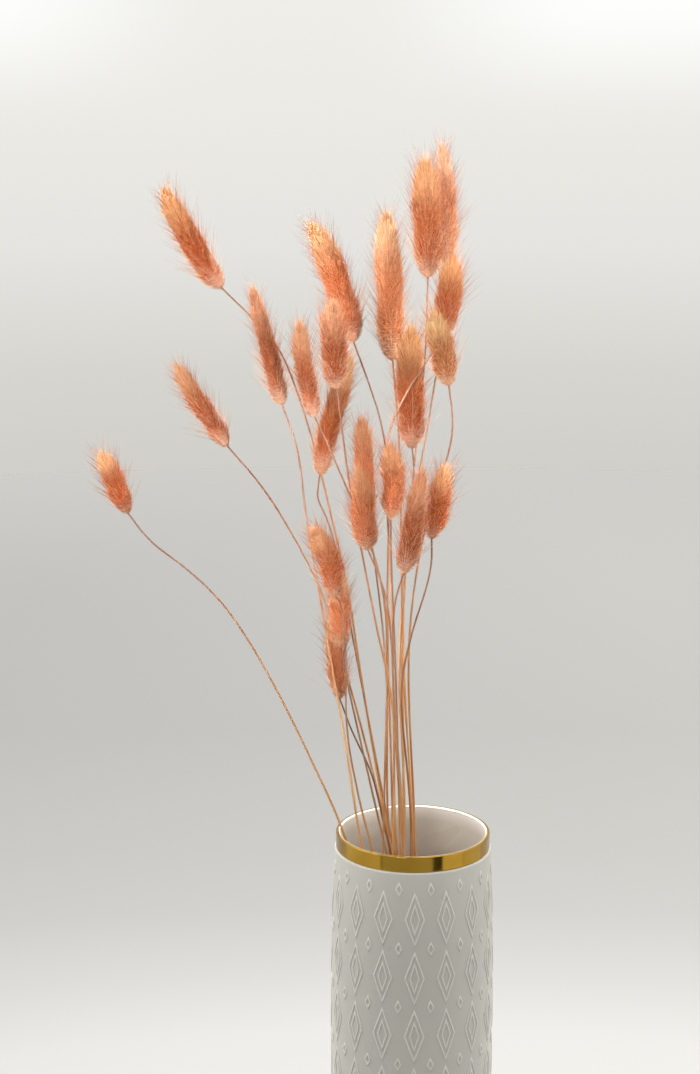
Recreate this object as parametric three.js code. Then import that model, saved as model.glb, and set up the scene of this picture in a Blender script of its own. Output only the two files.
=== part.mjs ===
import * as THREE from "three";

// Dried bunny tail grass (Lagurus ovatus), dyed coral, standing loose in a slim porcelain vase
// with a gilded rim. Millimetres, +Z up. The origin is the centre of the vase's flat foot, and
// -Y is the front. Each plant is a stem and a head. The stems stand on the vase's floor, cross
// in a waist at its mouth and fan out above it.

// ---- Vase: a slightly barrelled tube ----
const VASE_HEIGHT = 200;
const BELLY_RADIUS = 42.5;
const BELLY_HEIGHT = 95;
const SHOULDER_RADIUS = 40.7; // just below the gilding
const FOOT_ROUNDING = 4;
const WALL = 2.8;
const LIP_CHAMFER = 1; // eases the inner edge of the lip, where stems lean
const FLOOR = 6;
const FLOOR_ROUNDING = 5;
const WALL_HEIGHTS = [45, 80, 110, 140, 170]; // corners of the barrelled profile
const FACETS = 48;

// ---- Gilding: a thin sleeve of fired gold round the outside of the lip ----
const GILT_RADIUS = 40;
const GILT_HEIGHT = 7.5;
const GILT_THICKNESS = 0.6;
const SEAM = 0.3; // gap left between pieces that touch

// ---- Stems ----
const STEM_FOOT_RADIUS = 0.8;
const STEM_NECK_RADIUS = 0.42;
const STEM_STEPS = 20;
const STEM_CROWDING = 1.5; // the steps get closer together towards the neck, where stems bend most
const STEM_SIDES = 5;

// ---- Heads ----
const NECK_GAP = 0.6; // from the end of the stem to the start of the head
const HEAD_COLUMNS = 9; // bristle tufts in each row round a head
const HEAD_ROW = 3.5; // spacing of the rows along a head
const WIDEST_SHARE = 0.28; // share of the core's length below its widest row
const BLUNTNESS = 0.2; // width of the core's flat base, over that of its widest row
const SLIMMING = 0.45; // how much slimmer the core's top is than its widest row
const SLIMMING_DELAY = 1.8; // over 1, more of the slimming is near the top
const CORE_SHARE = 0.6; // core's share of the head's width
const TOP_TUFT = 7; // the brush that ends each head, beyond its core
const BASE_LEAN = 0.95; // lean of the lowest bristles away from the axis, radians
const TOP_LEAN = 0.26;
const AWN_SHARE = 0.22; // share of the bristles that are long awns
const AWN_FACTOR = 1.55; // their length, over that of a plain bristle
const BRISTLE_VARIATION = 0.15; // how far a plain bristle's length strays, either way

// ---- Clearing: stems that would cross are bent clear of each other, the heads and the vase ----
const STEM_CLEARANCE = 0.45; // between two stems
const HEAD_CLEARANCE = 1; // between a stem and another plant's dense bristles
const VASE_CLEARANCE = 0.4; // between a stem and the vase's wall or lip
const CLEARING_ROUNDS = 400; // most rounds of pushing; it ends sooner once all are clear
const STIFFNESS = 0.25; // share of a shift that the first rounds spread along the stem
const NEAR_HEIGHT = 12; // pieces further apart in height than this can't touch

// ---- Finishes ----
const PORCELAIN = new THREE.MeshStandardMaterial({ color: 0xe9e7e2, roughness: 0.32, metalness: 0 });
const GOLD = new THREE.MeshStandardMaterial({ color: 0xb98e2f, roughness: 0.22, metalness: 1 });
const STRAW = new THREE.MeshStandardMaterial({ color: 0xb77e54, roughness: 0.6, metalness: 0 });
const CORAL = new THREE.MeshStandardMaterial({ color: 0xdc7d50, roughness: 0.9, metalness: 0 });

// Each plant from its foot, as [x, y] on the vase's floor, past [x, y] where it crosses the mouth
// and the bends of its stem, to its neck and the tip of its head. The width is over the head's
// dense bristles, and the bow moves the middle of the head away from the straight line.
const PLANTS = [
  { foot: [20, -10], mouth: [-13.5, 0],
    bends: [[-26, 5, 275], [-34, 9, 327], [-44, 14, 372], [-55, 17, 414], [-69, 19, 450], [-83, 20, 466]],
    neck: [-97, 20, 480], tip: [-124, 24, 531], width: 13, bow: [-3, 0, -1] },
  { foot: [29, -2], mouth: [-14.5, 5],
    bends: [[-23, 6, 237], [-34, 6, 280], [-48, 4, 328], [-63, 2, 359], [-77, 1, 382]],
    neck: [-94, 0, 403], tip: [-119, 2, 445], width: 11, bow: [-1, 0, 0] },
  { foot: [27, -13], mouth: [-37, 2],
    bends: [[-53, 1, 238], [-68, 0, 271], [-85, 0, 303], [-99, 1, 323], [-114, 2, 338], [-134, 3, 354]],
    neck: [-145, 4, 368], tip: [-158, 6, 400], width: 12, bow: [0, 0, 0] },
  { foot: [8, -14], mouth: [-26.6, -20],
    bends: [[-35, -18, 256], [-43, -14, 303], [-48, -13, 333], [-54, -12, 368], [-59, -12, 405]],
    neck: [-66, -14, 426], tip: [-80, -20, 485], width: 10, bow: [0, 0, 0] },
  { foot: [-17, 2], mouth: [-15.5, -9],
    bends: [[-14, -12, 300], [-16, -14, 330], [-22, -15, 354], [-35, -15, 386], [-44, -15, 407]],
    neck: [-50, -15, 420], tip: [-56, -18, 468], width: 10, bow: [-2, 0, 0] },
  { foot: [-2, -17], mouth: [-9, 3],
    bends: [[-13, 8, 313], [-13, 18, 382], [-16, 23, 408], [-22, 26, 428]],
    neck: [-31, 30, 452], tip: [-55, 38, 511], width: 14, bow: [4, 0, 1] },
  { foot: [14, 6], mouth: [-6.5, -11],
    bends: [[-12, -15, 275], [-18, -18, 306], [-23, -22, 332], [-33, -30, 389], [-37, -33, 420]],
    neck: [-39, -34, 437], tip: [-40, -48, 481], width: 14, bow: [-1, 0, 0] },
  { foot: [25, 6], mouth: [-12, -6],
    bends: [[-27, 0, 280], [-36, 3, 328], [-43, 6, 361], [-49, 7, 375]],
    neck: [-48, 8, 387], tip: [-31, 14, 447], width: 11, bow: [-2, 0, 0] },
  { foot: [6, -22], mouth: [-12.5, 4],
    bends: [[-14, 12, 283], [-19, 23, 331]],
    neck: [-24, 30, 363], tip: [-28, 34, 413], width: 10, bow: [1, 0, 0] },
  { foot: [6, 10], mouth: [-10, -15],
    bends: [[-11, -27, 289], [-15, -38, 334]],
    neck: [-24, -45, 360], tip: [-29, -50, 403], width: 14, bow: [0, 0, 0] },
  { foot: [-6, -16], mouth: [-5, 3],
    bends: [[-6, 10, 318], [-7, 18, 382], [-8, 21, 407]],
    neck: [-11, 25, 443], tip: [-15, 30, 518], width: 15, bow: [0, 0, 0] },
  { foot: [-10, -2], mouth: [-4, -6.5],
    bends: [[-7, -9, 284], [-5, -11, 342], [-1, -11, 393]],
    neck: [-2, -12, 404], tip: [-4, -16, 465], width: 15, bow: [0, 0, 0] },
  { foot: [-8, -8], mouth: [-1.5, -2],
    bends: [[-5, 1, 270], [-6, 2, 317], [0, 8, 397], [5, 11, 450]],
    neck: [6, 12, 486], tip: [3, 15, 545], width: 16, bow: [1, 0, 0] },
  { foot: [-14, -20], mouth: [-2, 4],
    bends: [[-6, 9, 290], [-1, 21, 356], [9, 33, 416], [17, 42, 472]],
    neck: [17, 45, 490], tip: [12, 52, 551], width: 13, bow: [2, 0, 0] },
  { foot: [-12, 8], mouth: [-8, -9],
    bends: [[-11, -17, 327], [-14, -26, 410], [-8, -27, 428], [1, -24, 443]],
    neck: [14, -6, 460], tip: [21, -2, 498], width: 13, bow: [-2, 0, 0] },
  { foot: [6, 3], mouth: [0.3, -6],
    bends: [[-3, -12, 306], [4, -20, 363], [12, -25, 391], [17, -29, 416]],
    neck: [15, -32, 438], tip: [4, -38, 474], width: 14, bow: [2, 0, 0] },
  { foot: [-1, 9], mouth: [-7.5, -17.5],
    bends: [[-11, -29, 305], [-13, -41, 358]],
    neck: [-13, -44, 375], tip: [-15, -48, 413], width: 13, bow: [2, 0, 0] },
  { foot: [-3, 16], mouth: [-5, -20],
    bends: [[-11, -33, 286], [-11, -52, 335]],
    neck: [-7, -60, 352], tip: [2, -66, 404], width: 11, bow: [0, 0, 0] },
  { foot: [-12, 4], mouth: [-1.5, -12],
    bends: [[-7, -26, 284], [-3, -31, 311], [5, -35, 340], [7, -37, 352]],
    neck: [7, -38, 364], tip: [12, -42, 402], width: 12, bow: [1, 0, 0] },
  { foot: [12, -16], mouth: [-21.6, -27.5],
    bends: [[-28, -28, 227], [-34, -29, 262], [-35, -37, 309], [-37, -40, 331]],
    neck: [-40, -42, 336], tip: [-54, -54, 373], width: 14, bow: [4, 0, 2] },
  { foot: [26, 4], mouth: [-15.8, -15],
    bends: [[-30, -19, 266], [-35, -22, 291]],
    neck: [-37, -25, 306], tip: [-41, -29, 350], width: 12, bow: [1, 0, 0] },
  { foot: [27, 12], mouth: [-14.7, -6],
    bends: [[-22, -7, 233], [-32, -8, 257]],
    neck: [-38, -8, 274], tip: [-41, -9, 321], width: 11, bow: [0, 0, 0] },
];

const vec = (point) => new THREE.Vector3(...point);
const mix = (a, b, share) => a + (b - a) * share;

// Repeatable random numbers from 0 to 1.
function seededRandom(seed) {
  let state = seed;
  return () => {
    state = (state * 1664525 + 1013904223) % 4294967296;
    return state / 4294967296;
  };
}

// ---- Vase and gilding ----
const ledge = VASE_HEIGHT - GILT_HEIGHT; // foot of the rebate that the gilding fills
const lip = VASE_HEIGHT - LIP_CHAMFER; // where the inner wall ends
const outerRadius = (z) =>
  BELLY_RADIUS - (BELLY_RADIUS - SHOULDER_RADIUS) * ((z - BELLY_HEIGHT) / (ledge - BELLY_HEIGHT)) ** 2;
const innerRadius = (z) => outerRadius(z) - WALL;

// A solid of revolution about Z from a profile of [radius, height] points.
const turned = (profile) =>
  new THREE.LatheGeometry(profile.map(([r, z]) => new THREE.Vector2(r, z)), FACETS).rotateX(Math.PI / 2);

// The points of a quarter round between two angles.
const rounding = (centreR, centreZ, radius, from, to) =>
  [0, 1 / 3, 2 / 3, 1].map((share) => {
    const angle = mix(from, to, share);
    return [centreR + radius * Math.cos(angle), centreZ + radius * Math.sin(angle)];
  });

function vaseGeometry() {
  const rebate = GILT_RADIUS - GILT_THICKNESS - SEAM;
  const cornerHeight = FLOOR + FLOOR_ROUNDING;
  return turned([
    [0, 0],
    ...rounding(outerRadius(FOOT_ROUNDING) - FOOT_ROUNDING, FOOT_ROUNDING, FOOT_ROUNDING, -Math.PI / 2, 0),
    ...WALL_HEIGHTS.map((z) => [outerRadius(z), z]),
    [outerRadius(ledge), ledge],
    [rebate, ledge],
    [rebate, VASE_HEIGHT],
    [innerRadius(lip) + LIP_CHAMFER, VASE_HEIGHT],
    [innerRadius(lip), lip],
    ...WALL_HEIGHTS.toReversed().map((z) => [innerRadius(z), z]),
    ...rounding(innerRadius(cornerHeight) - FLOOR_ROUNDING, cornerHeight, FLOOR_ROUNDING, 0, -Math.PI / 2),
    [0, FLOOR],
  ]);
}

function giltGeometry() {
  const inner = GILT_RADIUS - GILT_THICKNESS;
  return turned([
    [inner, ledge + SEAM],
    [GILT_RADIUS, ledge + SEAM],
    [GILT_RADIUS, VASE_HEIGHT],
    [inner, VASE_HEIGHT],
    [inner, ledge + SEAM],
  ]);
}

// ---- Rods: the centre lines and radii of stems, and of the heads' envelopes ----
const alongStem = (k) => 1 - (1 - k / STEM_STEPS) ** STEM_CROWDING;

// A stem's rod, from its foot to its neck.
function stemRod({ foot, mouth, bends, neck }) {
  const guides = [[...foot, FLOOR + SEAM], [...mouth, VASE_HEIGHT], ...bends, neck].map(vec);
  const curve = new THREE.CatmullRomCurve3(guides, false, "centripetal");
  const steps = Array.from({ length: STEM_STEPS + 1 }, (_, k) => alongStem(k));
  return {
    points: steps.map((share) => curve.getPointAt(share)),
    radii: steps.map((share) => mix(STEM_FOOT_RADIUS, STEM_NECK_RADIUS, share)),
  };
}

// The curve of a head's core, from just above the neck to the root of its tuft.
function headCurve(plant) {
  const [neck, tip, bow] = [plant.neck, plant.tip, plant.bow].map(vec);
  const pull = neck.clone().lerp(tip, 0.5).addScaledVector(bow, 2);
  const whole = new THREE.QuadraticBezierCurve3(neck, pull, tip);
  const from = NECK_GAP / whole.getLength();
  const to = 1 - TOP_TUFT / whole.getLength();
  const points = [0, 0.25, 0.5, 0.75, 1].map((share) => whole.getPointAt(mix(from, to, share)));
  return new THREE.CatmullRomCurve3(points);
}

// The rod of a head's envelope, which never moves.
function headRod(plant) {
  const points = headCurve(plant).getSpacedPoints(6);
  return { points, radii: points.map(() => plant.width / 2), fixed: true };
}

// Moves a step of a rod, felt most at the end that is nearer to the point where it is pushed.
function shove(rod, k, where, move) {
  const step = new THREE.Line3(rod.points[k], rod.points[k + 1]);
  const share = step.closestPointToPointParameter(where, true);
  rod.points[k].addScaledVector(move, 1 - share);
  rod.points[k + 1].addScaledVector(move, share);
}

// Pushes a stem's rod off another rod, and tells whether it had to.
function pushApart(rod, other, clearance) {
  const [here, there] = [new THREE.Vector3(), new THREE.Vector3()];
  let pushed = false;
  for (let k = 0; k < rod.points.length - 1; k++)
    for (let m = 0; m < other.points.length - 1; m++) {
      const [a, b] = [rod.points.slice(k, k + 2), other.points.slice(m, m + 2)];
      if (a[0].z > b[1].z + NEAR_HEIGHT || b[0].z > a[1].z + NEAR_HEIGHT) continue;
      const gap = new THREE.Line3(...a).distanceSqToLine3(new THREE.Line3(...b), here, there) ** 0.5;
      const overlap = rod.radii[k] + other.radii[m] + clearance - gap;
      if (overlap <= 0) continue;
      pushed = true;
      const direction = here.clone().sub(there).normalize();
      shove(rod, k, here, direction.clone().multiplyScalar(other.fixed ? overlap : overlap / 2));
      if (!other.fixed) shove(other, m, there, direction.multiplyScalar(-overlap / 2));
    }
  return pushed;
}

// The shift that brings a point within a round room about the vase's axis.
function shiftInside(point, room) {
  const reach = Math.hypot(point.x, point.y);
  return new THREE.Vector3(point.x, point.y, 0).multiplyScalar(Math.min(room / reach, 1) - 1);
}

function keepInVase(rod) {
  const above = rod.points.findIndex((point) => point.z > VASE_HEIGHT);
  for (let k = 0; k < above; k++) {
    const corner = k === 0 ? FLOOR_ROUNDING : 0;
    const room = innerRadius(Math.max(rod.points[k].z, FLOOR)) - corner - rod.radii[k] - VASE_CLEARANCE;
    rod.points[k].add(shiftInside(rod.points[k], room));
  }
  // Where it crosses the lip, a leaning stem takes more room than its radius.
  const [below, over] = [rod.points[above - 1], rod.points[above]];
  const rise = over.clone().sub(below).normalize().z;
  const crossing = below.clone().lerp(over, (lip - below.z) / (over.z - below.z));
  const room = innerRadius(lip) - (rod.radii[above] + VASE_CLEARANCE) / rise;
  const shift = shiftInside(crossing, room);
  below.add(shift);
  over.add(shift);
}

// Spreads the shift of each point from its start over its neighbours. The foot slides on the
// floor, and the neck stays where it is.
function spreadBends(rod, start, stiffness) {
  const shifts = rod.points.map((point, k) => point.clone().sub(start[k]));
  for (let k = 1; k < STEM_STEPS; k++) {
    const around = shifts[k - 1].clone().lerp(shifts[k + 1], 0.5);
    rod.points[k].copy(start[k]).add(shifts[k].clone().lerp(around, stiffness));
  }
  rod.points[0].z = start[0].z;
  rod.points[STEM_STEPS].copy(start[STEM_STEPS]);
}

function bendClear(stems, heads) {
  const starts = stems.map((rod) => rod.points.map((point) => point.clone()));
  for (let round = 0, pushed = true; pushed && round < CLEARING_ROUNDS; round++) {
    pushed = false;
    stems.forEach((rod, i) => {
      const others = stems.slice(i + 1).map((other) => pushApart(rod, other, STEM_CLEARANCE));
      const crowns = heads.map((head, j) => j !== i && pushApart(rod, head, HEAD_CLEARANCE));
      pushed ||= others.includes(true) || crowns.includes(true);
      keepInVase(rod);
    });
    const stiffness = mix(STIFFNESS, 0, round / CLEARING_ROUNDS);
    stems.forEach((rod, i) => spreadBends(rod, starts[i], stiffness));
  }
}

// ---- Stem tubes ----

// Two directions square to a mostly upright tangent.
function crossAxes(tangent) {
  const across = new THREE.Vector3(0, 1, 0).cross(tangent).normalize();
  return [across, tangent.clone().cross(across)];
}

// A closed tapering tube along a rod, cut level at its foot.
function stemGeometry({ points, radii }) {
  const geometry = new THREE.CylinderGeometry(1, 1, STEM_STEPS, STEM_SIDES, STEM_STEPS);
  const position = geometry.getAttribute("position");
  for (let v = 0; v < position.count; v++) {
    const k = Math.round(position.getY(v) + STEM_STEPS / 2);
    const next = points[Math.min(k + 1, STEM_STEPS)];
    const tangent = k === 0 ? vec([0, 0, 1]) : next.clone().sub(points[k - 1]).normalize();
    const [a, b] = crossAxes(tangent);
    const point = points[k]
      .clone()
      .addScaledVector(a, radii[k] * position.getX(v))
      .addScaledVector(b, -radii[k] * position.getZ(v));
    position.setXYZ(v, point.x, point.y, point.z);
  }
  return geometry;
}

// ---- Heads: a core whose surface is a net of diamonds, each raised to the tip of a bristle ----

// Share of the full width at a share of the core's length: a round base and a slimmer top.
const fullness = (share) =>
  share < WIDEST_SHARE
    ? Math.sqrt(1 - (1 - BLUNTNESS ** 2) * (1 - share / WIDEST_SHARE) ** 2)
    : 1 - SLIMMING * ((share - WIDEST_SHARE) / (1 - WIDEST_SHARE)) ** SLIMMING_DELAY;

// The ring of a head's core at a share of its length, with the lean and length of its bristles.
function headRing(curve, share, width) {
  const centre = curve.getPointAt(share);
  const tangent = curve.getTangentAt(share);
  const [a, b] = crossAxes(tangent);
  const radius = (fullness(share) * width) / 2;
  const core = radius * CORE_SHARE;
  const lean = mix(BASE_LEAN, TOP_LEAN, share ** 0.8);
  const bristle = Math.min((radius - core) / Math.sin(lean), TOP_TUFT);
  const at = (turn, out, up) =>
    centre
      .clone()
      .addScaledVector(a, out * Math.cos(turn * 2 * Math.PI))
      .addScaledVector(b, out * Math.sin(turn * 2 * Math.PI))
      .addScaledVector(tangent, up);
  return {
    centre,
    top: centre.clone().addScaledVector(tangent, TOP_TUFT),
    corePoint: (turn) => at(turn, core, 0),
    bristleTip: (turn, long) =>
      at(turn, core + bristle * long * Math.sin(lean), bristle * long * Math.cos(lean)),
  };
}

function headGeometry(plant, random) {
  const curve = headCurve(plant);
  const rows = Math.round(curve.getLength() / HEAD_ROW);
  const rings = Array.from({ length: rows + 1 }, (_, row) => headRing(curve, row / rows, plant.width));
  // Every other ring is turned by half a column, so that the rings' corners form diamonds.
  const turnOf = (row, column) => (column + (row % 2) / 2) / HEAD_COLUMNS;
  const corner = (row, column) => rings[row].corePoint(turnOf(row, column % HEAD_COLUMNS));
  const bristle = (row, column) => {
    const long = random() < AWN_SHARE ? AWN_FACTOR : 1 + BRISTLE_VARIATION * mix(-1, 1, random());
    return rings[row].bristleTip(turnOf(row, column + 0.5), long);
  };
  const triangles = [];
  for (let column = 0; column < HEAD_COLUMNS; column++) {
    const [first, second] = [corner(0, column), corner(0, column + 1)];
    triangles.push([second, first, rings[0].centre], [first, second, corner(1, column)]);
    for (let row = 1; row < rows; row++) {
      const [left, right] = [corner(row, column), corner(row, column + 1)];
      const below = corner(row - 1, column + (row % 2));
      const above = corner(row + 1, column + (row % 2));
      const tip = bristle(row, column);
      triangles.push([below, right, tip], [right, above, tip], [above, left, tip], [left, below, tip]);
    }
    const [left, right] = [corner(rows, column), corner(rows, column + 1)];
    const below = corner(rows - 1, column + (rows % 2));
    triangles.push([right, left, below], [left, right, rings[rows].top]);
  }
  return new THREE.BufferGeometry().setFromPoints(triangles.flat());
}

// ---- Assembly ----
const bouquet = new THREE.Group();

function add(name, geometry, material) {
  const mesh = new THREE.Mesh(geometry, material);
  mesh.name = name;
  bouquet.add(mesh);
}

const stemRods = PLANTS.map(stemRod);
bendClear(stemRods, PLANTS.map(headRod));

add("vase", vaseGeometry(), PORCELAIN);
add("gilded_rim", giltGeometry(), GOLD);
const random = seededRandom(11);
PLANTS.forEach((plant, i) => {
  const number = String(i + 1).padStart(2, "0");
  add(`stem_${number}`, stemGeometry(stemRods[i]), STRAW);
  add(`head_${number}`, headGeometry(plant, random), CORAL);
});

export default bouquet;
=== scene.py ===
import math

import bmesh
import bpy
import numpy as np
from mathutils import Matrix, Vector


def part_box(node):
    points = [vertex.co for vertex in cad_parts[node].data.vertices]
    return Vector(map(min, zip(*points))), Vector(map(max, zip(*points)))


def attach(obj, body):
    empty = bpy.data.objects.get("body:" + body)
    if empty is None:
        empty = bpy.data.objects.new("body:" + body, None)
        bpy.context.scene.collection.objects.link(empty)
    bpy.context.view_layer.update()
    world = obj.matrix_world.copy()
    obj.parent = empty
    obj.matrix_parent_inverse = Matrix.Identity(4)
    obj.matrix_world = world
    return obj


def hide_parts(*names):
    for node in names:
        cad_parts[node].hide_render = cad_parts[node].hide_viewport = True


# Looks of a loose bunch of dried, coral-dyed bunny tail grass in a slim porcelain vase with a
# gilded rim. Everything is in metres, +Z up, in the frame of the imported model, and -Y is the front.
# A colour is written as #rrggbb, or as linear RGB values. Ramps hold (place, colour) stops.

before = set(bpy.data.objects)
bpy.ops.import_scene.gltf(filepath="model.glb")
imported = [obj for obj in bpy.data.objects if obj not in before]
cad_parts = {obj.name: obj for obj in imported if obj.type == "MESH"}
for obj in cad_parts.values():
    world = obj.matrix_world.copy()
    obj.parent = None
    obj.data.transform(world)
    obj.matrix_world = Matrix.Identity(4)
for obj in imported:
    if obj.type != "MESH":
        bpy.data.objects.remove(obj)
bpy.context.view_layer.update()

MM = 0.001
BODY = "root"
MAP = "OFBake"  # the UV map that the patterns of fur and stems follow
PLANTS = 22  # a stem and a head each
SEAM = 0.3 * MM  # that the CAD leaves between pieces that touch

# ---- Vase ----
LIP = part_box("vase")[1].z + 0.5 * MM
BELLY_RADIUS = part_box("vase")[1].x
FLOOR_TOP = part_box("stem_01")[0].z - SEAM
VASE_SEGMENTS = 144
WALL_STEPS = 40
FOOT_ROUNDING = 4 * MM
FOOT_RING_WIDTH = 5 * MM  # the flat ring that the vase stands on
FOOT_RING_EDGE = ((0.6 * MM, 0.2 * MM), (1.2 * MM, 0))  # its inner bevel: way outwards, and height
FOOT_RECESS = 1.2 * MM
DISC_RINGS = (0.002, 0.35, 0.7)  # as shares of a disc's radius
FLOOR_ROUNDING = 5 * MM
ROUNDING_STEPS = 6
LIP_ROUNDING = 0.9 * MM
SHOULDER_ROUNDING = 0.4 * MM
SUPPORT = 0.3 * MM  # between a rounding and a ring that keeps its shading to itself

# ---- Gilding ----
GILT_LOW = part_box("gilded_rim")[0].z - 0.6 * MM
RIM_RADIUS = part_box("gilded_rim")[1].x
GILT_THICKNESS = 0.55 * MM
GILT_ROUNDING = 0.5 * MM
GILT_BEVEL = (0.2 * MM, 0.15 * MM)  # width and depth, where the gold ends on the lip
GILT_STEPS = 6

# ---- Relief on the vase: upright rows of outlined lozenges with small ones between them ----
RELIEF_COLUMNS = 16
RELIEF_HEIGHTS = [41.7 * MM, 73.2 * MM, 104.7 * MM, 136.2 * MM, 167.7 * MM]
LOZENGE = (9.6 * MM, 27 * MM)
INNER_LOZENGE = (4.6 * MM, 15 * MM)
SMALL_LOZENGE = (3 * MM, 6 * MM)
LINE_WIDTH = 1.3 * MM
LINE_HEIGHT = 0.42 * MM
LINE_SINK = 0.12 * MM  # how far a line's edges lie under the glaze
LINE_FLANK = 0.55 * LINE_HEIGHT
LINE_SECTION = (  # place from side to side, in half widths, and height
    (-1, -LINE_SINK), (-0.6, LINE_FLANK), (-0.22, LINE_HEIGHT),
    (0.22, LINE_HEIGHT), (0.6, LINE_FLANK), (1, -LINE_SINK),
)

# ---- Stems ----
STEM_CORNERS = 5  # of each ring of a CAD stem
STEM_RINGS = 21
STEM_SIDES = 8
STEM_STEPS = 3  # steps of the visible stem in each step of the CAD stem
STEM_UNEVENNESS = 0.07
STEM_SHADES = (0.05, 0.8, 0.1)  # on the map: the first one, how far stems differ, and a stem's two sides

# ---- Heads: how a head's size is read from its CAD node ----
END_CORNERS = 8  # the corners furthest from the neck, which show where the tip is
WIDEST_PLACE = 0.28
WIDEST_SPAN = 0.15  # how far on either side of it the width is taken
WIDTH_PERCENTILE = 72  # of the distances from the axis there
FULLNESS = {  # of heads that are thicker or thinner than their CAD solid
    1: 1.06, 2: 1.06, 3: 1.03, 4: 1.06, 5: 1.07, 6: 1.14, 8: 1.12, 9: 1.08, 10: 1.06, 11: 1.04,
    13: 0.98, 14: 1.06, 15: 1.12, 17: 0.93, 18: 1.16, 19: 1.1, 22: 1.06,
}

# ---- Heads: their form ----
ROUND_BASE = 1.6  # height of a head's round base, as a share of its half width
BASE_SHAPE = 0.45  # 0.5 would be an ellipse, and less is blunter
SLIMMING = 0.22
MORE_SLIMMING = 0.45
SLENDER = (4, 10, 14, 18)  # heads that taper more than the others
LESS_SLIMMING = 0.12
BLUNT = (7, 9, 12, 16, 17)  # heads that taper less
SLIMMING_DELAY = 1.25
POINT_START = 0.62  # where a head begins to close to its soft point
LUMPS = ((0.07, 8, 1), (0.05, 17, -2))  # height, waves along the head in radians, and waves round it
CORE_SHARE = 0.62  # core's share of a head's width
CORE_ENDS = (0.01, 0.88)
CORE_RINGS = 28
CORE_SIDES = 20
CORE_SHADES = (0.0, 0.03)  # heights on the map, near the colour of the hairs' roots, which is painted shade
AREA_STEPS = 400
END_SHARE = 0.05  # of its half width, which a head's width counts for more when hairs are spread

# ---- Coat: hairs that gather in locks ----
COAT_AREA = 0.8  # of a head, as a share of the cylinder round it
HAIR_DENSITY = 5e6  # hairs on a square metre of a head
CURVED_SHARE = 0.2
BRUSH_SHARE = 0.06  # share of the hairs that make the point at the top
HAIR_RADIUS = 0.092 * MM
HAIR_LENGTH = (3.6 * MM, 6 * MM)
FULL_RADIUS = 8 * MM  # half the width of a head with hairs of the full length
SHORTEST_HAIRS = 0.7  # of the smallest heads, as a share of that length
THICKNESSES = (0.7, 1.15)  # of hairs and awns, as shares of their radius
HAIR_SKEW = (0.31, 0.17, 0.93)  # a direction that hairs hardly ever have
LEAN_PLACES = (0, 0.1, 0.3, 0.6, 1)
LEANS = (1.8, 1.42, 0.9, 0.62, 0.32)  # of hairs away from the axis there, radians
LEAN_SPREAD = 0.26
LEAST_SINE = 0.1  # of the lean, for the way from a hair's tip to the axis
DEPTH_SHARE = 0.85  # how much of that way a hair may take
SWAY = 0.35  # how far locks lean to one side or the other
LOCK_SPACING = 0.85 * MM  # between the middles of the locks that hairs gather in
LOCK_SHIFTS = (0.5, 0.4)  # how far locks stray from even places along and round the head, in spacings
LOCK_SPREAD = 0.22 * MM
CLUMPING = 0.72  # how far a hair's tip is drawn to the tip of its lock
CLUMPING_SPREAD = (0.8, 1.2)
OUTWARD = 0.6  # how far a curved hair leaves its root sideways
CURVED_RINGS = 2
REACH_PLACES = (0.15, 0.5, 0.75, 1)
LOW_REACH = (0.9, 0.86, 0.84, 0.75)  # of the locks there, as shares of a head's half width
HIGH_REACH = (1.04, 1.18, 1.3, 1.8)
REACH_CURVE = (1.6, 3)  # of the beta distribution between the two
REACH_SPREAD = (0.9, 1.05)  # of the hairs of a lock
STRAY = 0.2 * MM
SPIKES = 2.2 * MM  # how unevenly locks end near the top
SPIKES_START = 0.7
SPIKES_RISE = 0.25  # the share of the head over which they reach their full height
LOCK_SHADES = 0.02  # how far locks stray on the map
HAIR_SHADES = 0.0008  # how far the hairs of a lock do

# ---- Brush: the tufts that make a head's soft point ----
BRUSH_TUFTS = 46
BRUSH_LENGTH = (5 * MM, 10 * MM)
BRUSH_WIDTH = 2.8 * MM  # half the width of the top that those tufts make
BRUSH_CROWDING = 0.6  # 0.5 would be even, and more is denser in the middle
BRUSH_DEPTH = 1.8 * MM  # how unevenly they end
BRUSH_SLOPE = 0.9
BRUSH_RISE = 0.8 * MM  # of the longest ones over the end of the axis
BRUSH_SHIFT = 0.6  # how far tufts stray round the head, in spacings
TUFT_TURN = 0.03  # how far the roots of a tuft spread, in turns
TUFT_SPREAD = 0.22 * MM
BRUSH_SHADES = (0.66, 0.12, 0.001)  # on the map: the first one, how far tufts differ, and the hairs of a tuft

# ---- Awns ----
AWN_DENSITY = 0.3e6
AWN_LENGTH = (5 * MM, 23 * MM)
AWN_LENGTH_CURVE = (1.3, 1.9)  # of the beta distribution between the two
AWN_SHORTENING = 0.35  # of the awns at the top of a head
AWN_RADIUS = 0.08 * MM
AWN_LEAN = (0.75, 0.42)  # at the base and at the top of a head, radians
AWN_LEAN_SPREAD = 0.15
AWN_BEND = 0.06  # as a share of the length
AWN_RINGS = 2
AWN_ENDS = (0.08, 0.97)  # shares of a head's length
AWN_SHIFTS = (0.02, 0.05)  # how far awns stray along the head, and round it in turns
AWN_REACH = 0.7  # of their roots, as a share of the half width
AWN_SHADE = 0.55  # how far up the map the awns of the top are
GOLDEN_TURN = (3 - math.sqrt(5)) / 2

# ---- The map of the fur: across it the place along the head, and up it the place along the hair ----
FUR_TIP = 0.8  # where a hair's tip lies on the map; awns lie beyond it
AWN_ROOT = 0.86
BRUSH_ROOT = 0.5  # the hairs of the brush start nearer to the body's colour
HAIR_ON_MAP = 0.001  # half the width of a hair
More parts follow.
